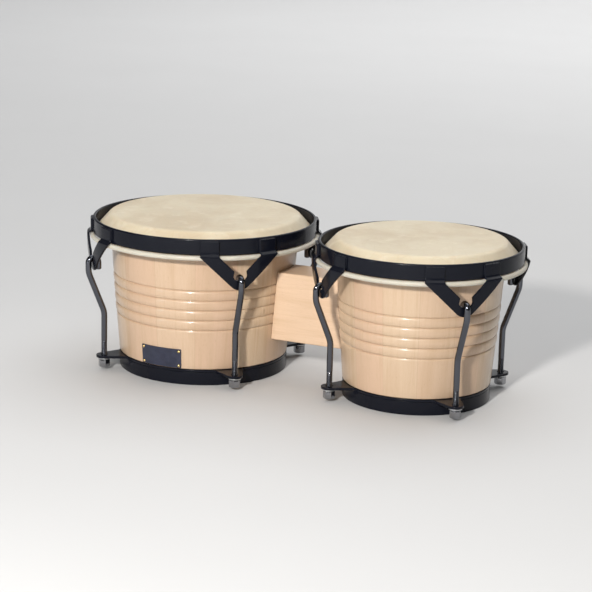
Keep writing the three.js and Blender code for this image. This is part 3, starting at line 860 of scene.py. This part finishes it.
def hook_path(drum):
    """The J-hook's centre line as (radius, height), from its tip over the notch to its end."""
    inner = drum.bracket_face(HOOK_TIP) - HOOK_ROD - 0.4
    outer = drum.bracket_face(NOTCH_BOTTOM) + BRACKET_PLATE + HOOK_ROD + 0.4
    arch, middle = (outer - inner) / 2, (outer + inner) / 2
    level = NOTCH_BOTTOM + HOOK_SEAT + HOOK_ROD - arch
    path = [Vector((inner, HOOK_TIP)), Vector((inner, (HOOK_TIP + level) / 2))]
    for step in range(17):
        turn = math.pi * (1 - step / 16)
        path.append(Vector((middle + arch * math.cos(turn), level + arch * math.sin(turn))))
    lower = drum.rod_radius
    thread_top = drum.rod_end + THREAD_LENGTH
    rod = [(outer, level - 1, 0), (outer, JOG_TOP, JOG_FILLET), (lower, JOG_BOTTOM, JOG_FILLET),
           (lower, thread_top + 3, 0)]
    return path + rounded(rod, closed=False, steps=10)


def hook(drum, lug, angle, finish):
    """A bent chrome rod with a real thread cut on its straight lower end."""
    sides = 24
    stations = [(point, HOOK_ROD, 0.0) for point in hook_path(drum)]
    lower = drum.rod_radius
    thread_top = drum.rod_end + THREAD_LENGTH
    per_turn = 6
    turns = round((thread_top - drum.rod_end - 1) / THREAD_PITCH)
    for step in range(turns * per_turn + 1):
        height = thread_top - step * THREAD_PITCH / per_turn
        stations.append((Vector((lower, height)), HOOK_ROD - 0.03, min(step / per_turn / 2, 1)))
    core = HOOK_ROD - THREAD_DEPTH
    stations.append((Vector((lower, drum.rod_end + 0.5)), core, 0.0))
    stations.append((Vector((lower, drum.rod_end)), core - ROD_POINT, 0.0))
    tip = stations[0][0]
    round_tip = [(tip - Vector((0, HOOK_ROD * 0.5 * math.sin(t))), HOOK_ROD * math.cos(t) + 0.02, 0.0)
                 for t in (1.35, 0.95, 0.5)]
    stations = round_tip + stations
    points = []
    last = len(stations) - 1
    for i, (centre, radius, cut) in enumerate(stations):
        before, after = stations[max(i - 1, 0)][0], stations[min(i + 1, last)][0]
        along = (after - before).normalized()
        side = Vector((-along.y, along.x))
        for k in range(sides):
            turn = 2 * math.pi * k / sides
            phase = (centre.y / THREAD_PITCH + k / sides) % 1
            tooth = abs(2 * phase - 1)
            reach = radius - cut * THREAD_DEPTH * (1 - tooth)
            offset = side * (reach * math.cos(turn))
            points.append((centre.x + offset.x, reach * math.sin(turn), centre.y + offset.y))
    faces = tube_faces(len(stations), sides)
    made = piece(f"{drum.name}_{lug}_j_hook", points, faces, drum.lug_matrix(angle), 50)
    return stand_for(made, drum.tension, "chrome_rod", finish, f"{drum.name}_{lug}_hook")


def hex_nut(name, low, high, across_flats, bore, matrix):
    """A hexagon nut or bolt head along +Z, with chamfered corners. bore 0 leaves it solid."""
    samples = 72
    half = across_flats / 2
    face = half * 0.94
    slope = math.tan(math.radians(30))
    bore_edge = bore + 0.5 if bore else 0

    def flat_reach(turn):
        within = (turn + math.pi / 6) % (math.pi / 3) - math.pi / 6
        return half / math.cos(within)

    points = []
    for i in range(samples):
        turn = 2 * math.pi * i / samples
        reach = flat_reach(turn)
        drop = max(0.0, reach - half * 0.97) * slope
        row = [(bore, low + 0.5), (bore_edge, low)] if bore else [(0.3, low)]
        row += [(face, low), (reach * 0.985, low + drop), (reach, low + drop + 0.15),
                (reach, mix(low, high, 0.5)), (reach, high - drop - 0.15),
                (reach * 0.985, high - drop), (face, high)]
        row += [(bore_edge, high), (bore, high - 0.5)] if bore else [(0.3, high)]
        points += [(r * math.cos(turn), r * math.sin(turn), z) for r, z in row]
    columns = len(row)
    faces = grid_faces(samples, columns, True, True) if bore else drum_faces(samples, columns)
    return piece(name, points, faces, matrix, 28)


def ring_piece(name, low, high, inner, outer, edge, matrix):
    """A flat ring along +Z with rounded edges."""
    segments = 72
    profile = rounded([(inner, low, edge), (outer, low, edge), (outer, high, edge),
                       (inner, high, edge)], steps=3)
    faces = grid_faces(segments, len(profile), True, True)
    return flat_shading_fix(piece(name, turned(profile, segments), faces, matrix))


def lug_pieces(drum, lug, angle, finishes):
    bracket(drum, lug, angle, finishes["black"])
    for side in (-1, 1):
        weld(drum, lug, angle, side, finishes["black"])
    hook(drum, lug, angle, finishes["chrome"])
    at_rod = drum.lug_matrix(angle) @ Matrix.Translation((drum.rod_radius, 0, 0))
    low, high = drum.box(f"{lug}_washer")
    node = f"{drum.name}_{lug}_washer"
    made = ring_piece(f"{node}_disc", low.z, high.z, ROD_HOLE, WASHER_RADIUS, 0.35, at_rod)
    stand_for(made, "root", "zinc_steel", finishes["zinc"], node)
    low, high = drum.box(f"{lug}_nut")
    node = f"{drum.name}_{lug}_nut"
    made = hex_nut(f"{node}_hex", low.z, high.z, NUT_ACROSS_FLATS, HOOK_ROD + 0.05, at_rod)
    stand_for(made, f"{node}_body", "chrome_nut", finishes["bright"], node)


# ---- block, bolts and badge ----
def joining_block(large, small, finish):
    """A block whose ends follow the two shells, with softened edges."""
    low, high = node_box("joining_block")
    columns, rows = 18, 26
    clearance = 0.15
    points = []
    for end, drum in enumerate((large, small)):
        for i in range(rows + 1):
            height = mix(low.z, high.z, i / rows)
            for k in range(columns + 1):
                y = mix(low.y, high.y, k / columns)
                reach = math.sqrt((drum.outer(height) + clearance) ** 2 - y * y)
                points.append((drum.centre + (reach if end == 0 else -reach), y, height))
    per_row = columns + 1
    side = per_row * (rows + 1)
    faces = grid_faces(rows + 1, per_row, False, False)
    faces += [tuple(i + side for i in reversed(face)) for face in faces]
    border = list(range(per_row))
    border += [row * per_row + columns for row in range(1, rows + 1)]
    border += [rows * per_row + column for column in range(columns - 1, -1, -1)]
    border += [row * per_row for row in range(rows - 1, 0, -1)]
    for i, start in enumerate(border):
        end = border[(i + 1) % len(border)]
        faces.append((end, start, start + side, end + side))
    made = piece("joining_block_wood", points, faces, keep_angle=40)
    bevel = made.modifiers.new("softened_edges", "BEVEL")
    bevel.width = 1.2 * MM
    bevel.segments = 3
    bevel.limit_method = "ANGLE"
    bevel.angle_limit = math.radians(50)
    stand_for(made, "root", "block_wood", finish, "joining_block")
    return flat_shading_fix(made)


def bolt_pieces(level, finish):
    """One through-bolt along +X, its two washers and its nut."""
    along_x = Matrix.Rotation(math.pi / 2, 4, "Y")
    low, high = node_box(f"{level}_through_bolt")
    height = (low.z + high.z) / 2
    centre = Matrix.Translation((0, 0, height)) @ along_x
    head_end = low.x + BOLT_HEAD_HEIGHT
    made = hex_nut(f"{level}_bolt_head", low.x, head_end, BOLT_ACROSS_FLATS, 0, centre)
    stand_for(made, "root", "zinc_steel", finish, f"{level}_through_bolt")
    profile = rounded([(0.4, head_end - 0.5, 0), (BOLT_RADIUS, head_end - 0.5, 0),
                       (BOLT_RADIUS, high.x, 0.8), (0.4, high.x, 0)], steps=4)
    segments = 48
    faces = drum_faces(segments, len(profile))
    shank = piece(f"{level}_bolt_shank", turned(profile, segments), faces, centre, 40)
    stand_for(shank, "root", "zinc_steel", finish, f"{level}_through_bolt")
    for side in ("large", "small"):
        node = f"{level}_bolt_washer_{side}"
        start, end = node_box(node)
        made = ring_piece(f"{node}_disc", start.x, end.x, BOLT_RADIUS + 0.3, BOLT_WASHER_RADIUS, 0.4,
                          centre)
        stand_for(made, "root", "zinc_steel", finish, node)
    start, end = node_box(f"{level}_bolt_nut")
    made = hex_nut(f"{level}_bolt_nut_hex", start.x, end.x, BOLT_ACROSS_FLATS,
                   BOLT_RADIUS + 0.05, centre)
    stand_for(made, "root", "zinc_steel", finish, f"{level}_bolt_nut")


class Badge:
    """The badge's place on the large shell: across and up it, and out from the wood."""

    def __init__(self, drum):
        self.drum = drum
        self.bottom = node_box("badge_plate")[0].z

    def point(self, across, up, out):
        level = self.bottom + up
        radius = self.drum.outer(level) + out
        turn = math.radians(BADGE_AZIMUTH) + across / self.drum.outer(self.bottom)
        return Vector((self.drum.centre + radius * math.sin(turn), -radius * math.cos(turn), level))


def badge_plate(badge, finish):
    """A thin curved plate with rounded edges, hugging the shell."""
    side, fillet = BADGE_WIDTH / 2, 0.9
    corners = [(-side, 0, fillet), (side, 0, fillet), (side, BADGE_HEIGHT, fillet),
               (-side, BADGE_HEIGHT, fillet)]
    made = prism_from_curves("badge_enamelled_plate", [rounded(corners, steps=5)],
                             BADGE_PLATE, 0.25, Matrix.Identity(4))
    shape = bmesh.new()
    shape.from_mesh(made.data)
    strips = 30
    for step in range(1, strips):
        x = mix(-side, side, step / strips) * MM
        whole = shape.verts[:] + shape.edges[:] + shape.faces[:]
        bmesh.ops.bisect_plane(shape, geom=whole, plane_co=(x, 0, 0), plane_no=(1, 0, 0))
    for vert in shape.verts:
        across, up, out = vert.co / MM
        vert.co = badge.point(across, up, out + BADGE_PLATE / 2 + BADGE_LIFT) * MM
    bmesh.ops.recalc_face_normals(shape, faces=shape.faces)
    shape.to_mesh(made.data)
    shape.free()
    return stand_for(made, "root", "badge_black", finish, "badge_plate")


def badge_nail(badge, name, across, up, finish):
    """A small domed brass nail, driven square to the badge."""
    seat = BADGE_PLATE + BADGE_LIFT
    foot = badge.point(across, up, 0)
    outward = (badge.point(across, up, 1) - foot).normalized()
    matrix = Matrix.Translation(foot) @ outward.to_track_quat("Z", "Y").to_matrix().to_4x4()
    dome = [(NAIL_HEAD * math.cos(t), seat + NAIL_DOME * math.sin(t))
            for t in (0.0, 0.3, 0.6, 0.9, 1.2)]
    profile = [(0, seat - NAIL_LENGTH), (NAIL_SHANK, seat - NAIL_LENGTH + 1), (NAIL_SHANK, seat),
               (NAIL_HEAD - 0.05, seat - 0.02)]
    profile += dome + [(0, seat + NAIL_DOME)]
    segments = 32
    middle = profile[1:-1]
    points = [(0, 0, profile[0][1]), (0, 0, profile[-1][1])] + turned(middle, segments)
    faces = pole_faces(segments, len(middle))
    made = piece(f"badge_nail_{name}_domed", points, faces, matrix, 45)
    return stand_for(made, "root", "brass_nail", finish, f"badge_nail_{name}")


def badge_pieces(drum, finishes):
    badge = Badge(drum)
    badge_plate(badge, finishes["enamel"])
    side = BADGE_WIDTH / 2 - NAIL_INSET
    top = BADGE_HEIGHT - NAIL_INSET
    for row, up in (("lower", NAIL_INSET), ("upper", top)):
        for column, across in (("left", -side), ("right", side)):
            badge_nail(badge, f"{row}_{column}", across, up, finishes["brass"])


# ---- studio ----
def camera():
    """The viewing angle: from the front, a little to the right and above, rolled slightly."""
    azimuth, elevation, roll = math.radians(24.105), math.radians(13.944), math.radians(1.451)
    distance = 2.0398
    aim = Vector((-0.00786, 0, 0.08202))
    back = Vector((math.sin(azimuth) * math.cos(elevation),
                   -math.cos(azimuth) * math.cos(elevation), math.sin(elevation)))
    data = bpy.data.cameras.new("camera")
    data.lens = 125.3
    data.sensor_width = 36
    made = linked("camera", data)
    made.location = aim + back * distance
    turn = (-back).to_track_quat("-Z", "Y").to_matrix()
    made.rotation_euler = (turn @ Matrix.Rotation(roll, 3, "Z")).to_euler()
    bpy.context.scene.camera = made


def soft_light(name, place, aim, size, power, colour=(1, 1, 1), size_y=None):
    data = bpy.data.lights.new(name, "AREA")
    data.shape = "RECTANGLE"
    data.size = size
    data.size_y = size_y or size
    data.energy = power
    data.color = colour
    made = linked(name, data)
    made.location = place
    made.rotation_euler = (Vector(aim) - Vector(place)).to_track_quat("-Z", "Y").to_euler()


def studio():
    """A pale floor that curves up behind, and soft lights."""
    half, depth, bend, height = 8.0, 3.5, 1.5, 5.0
    profile = [(-5.0, 0.0)]
    for step in range(13):
        turn = math.pi / 2 * step / 12
        profile.append((depth + bend * math.sin(turn), bend * (1 - math.cos(turn))))
    profile.append((depth + bend, height))
    points = [(side, y, z) for y, z in profile for side in (-half, half)]
    mesh = bpy.data.meshes.new("studio_floor")
    mesh.from_pydata(points, [], grid_faces(len(profile), 2, False, False))
    mesh.shade_smooth()
    floor = linked("studio_floor", mesh)
    shader = Shader("studio_paper")
    tone = shader.noise(shader.place(), 3.0, 2.0)
    shader.set(Base_Color=shader.blend(tone, (0.60, 0.60, 0.60), (0.63, 0.63, 0.63)), Roughness=0.9)
    mesh.materials.append(shader.material)

    world = bpy.data.worlds.new("studio")
    bpy.context.scene.world = world
    world.use_nodes = True
    background = world.node_tree.nodes["Background"]
    background.inputs["Color"].default_value = (0.94, 0.96, 1.0, 1)
    background.inputs["Strength"].default_value = 0.10
    middle = (0, 0, 0.08)
    soft_light("key", (0.20, -1.85, 0.88), middle, 0.12, 38, (1, 0.97, 0.93))
    soft_light("ceiling", (0, 1.8, 3.4), (0, 1.6, 0), 5.0, 130)
    soft_light("left_strip", (-0.95, -1.6, 0.5), middle, 0.16, 4.5, (0.9, 0.95, 1), 1.1)
    soft_light("right_strip", (1.0, -1.6, 1.55), middle, 0.2, 3.5, (1, 1, 1), 1.5)
    soft_light("backdrop_wash", (0, 3.0, 2.8), (0, 4.6, 0.4), 4.0, 60, (1, 1, 1), 1.2)
    bpy.context.scene.view_settings.view_transform = "Standard"


# ---- assembly ----
def main():
    camera()
    large = Drum("large", LARGE_LUG_TURN)
    small = Drum("small", 0)
    finishes = {
        "skin": rawhide("head_rawhide", (0.64, 0.555, 0.40), (0.53, 0.42, 0.275)),
        "wrap": rawhide("wrapped_rawhide", (0.55, 0.52, 0.44), (0.49, 0.445, 0.365), 0.3),
        "black": black_paint(),
        # Painted dark reflection: the rods' chrome colour and edge tint are darkened to stand in for
        # dark surroundings mirrored in the chrome.
        "chrome": plated("dark_chrome_plate", (0.095, 0.10, 0.118), 0.12, 0.04, 0.15, 0.45, 0.5),
        "bright": plated("bright_chrome_plate", (0.30, 0.305, 0.32), 0.12, 0.05, 0.2),
        "zinc": plated("zinc_plate", (0.58, 0.59, 0.60), 0.28, 0.10, 0.3),
        "brass": plated("polished_brass", (0.75, 0.55, 0.24), 0.16, 0.05, 0.3),
        "enamel": badge_enamel(),
    }
    for drum in (large, small):
        shell(drum, shell_wood(drum))
        head(drum, finishes["skin"])
        flesh_hoop(drum, finishes["wrap"])
        rim(drum, finishes["black"])
        bottom_skirt(drum, finishes["black"])
        bottom_plate(drum, finishes["black"])
        for lug, angle in LUG_ANGLES.items():
            lug_pieces(drum, lug, angle, finishes)
    joining_block(large, small, block_wood())
    for level in ("upper", "lower"):
        bolt_pieces(level, finishes["zinc"])
    badge_pieces(large, finishes)
    studio()


main()
